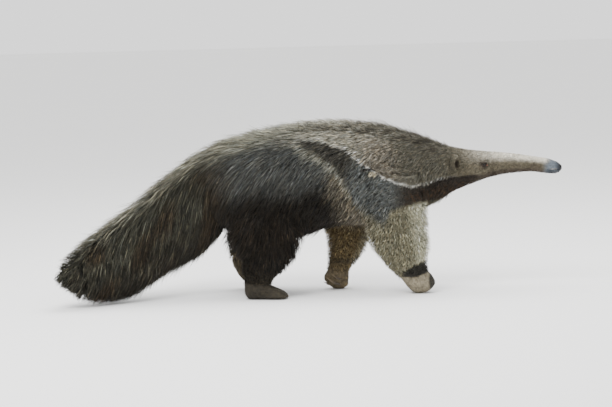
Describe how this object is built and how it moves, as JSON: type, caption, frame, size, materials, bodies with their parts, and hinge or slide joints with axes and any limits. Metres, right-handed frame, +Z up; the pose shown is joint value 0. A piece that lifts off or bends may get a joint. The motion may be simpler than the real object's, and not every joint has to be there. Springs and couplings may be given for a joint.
{
  "type": "giant anteater",
  "caption": "Still life-size giant anteater walking with its long snout held level and its bushy tail trailing to the floor.",
  "frame": {"origin": "on the floor, under the middle of the whole outline", "axes": "+X towards the nose, +Z up, +Y to the animal's left"},
  "size_m": [1.812, 0.4781, 0.6251],
  "materials": {
    "face": "short pale grey-beige fur over skin, blue-black bare nose tip",
    "grizzled": "coarse grizzled grey-brown coat with a black shoulder band edged in white",
    "dark": "long blackish-brown coat with grey strands",
    "pale": "short grizzled pale coat with a black wrist band",
    "claw": "dull horn",
    "eye": "wet dark eye"
  },
  "bodies": {
    "root": {"claw_fore_left_1": "claw", "claw_fore_left_2": "claw", "claw_fore_left_3": "claw", "claw_fore_left_4": "claw", "claw_fore_right_1": "claw", "claw_fore_right_2": "claw", "claw_fore_right_3": "claw", "claw_fore_right_4": "claw", "claw_hind_left_1": "claw", "claw_hind_left_2": "claw", "claw_hind_left_3": "claw", "claw_hind_left_4": "claw", "claw_hind_left_5": "claw", "claw_hind_right_1": "claw", "claw_hind_right_2": "claw", "claw_hind_right_3": "claw", "claw_hind_right_4": "claw", "claw_hind_right_5": "claw", "ear_left": "face", "ear_right": "face", "eye_left": "eye", "eye_right": "eye", "forefoot_left": "pale", "forefoot_right": "pale", "foreleg_left": "pale", "foreleg_right": "pale", "head": "face", "hindfoot_left": "dark", "hindfoot_right": "dark", "hindleg_left": "dark", "hindleg_right": "dark", "neck": "grizzled", "tail": "dark", "torso": "grizzled"}
  },
  "joints": []
}
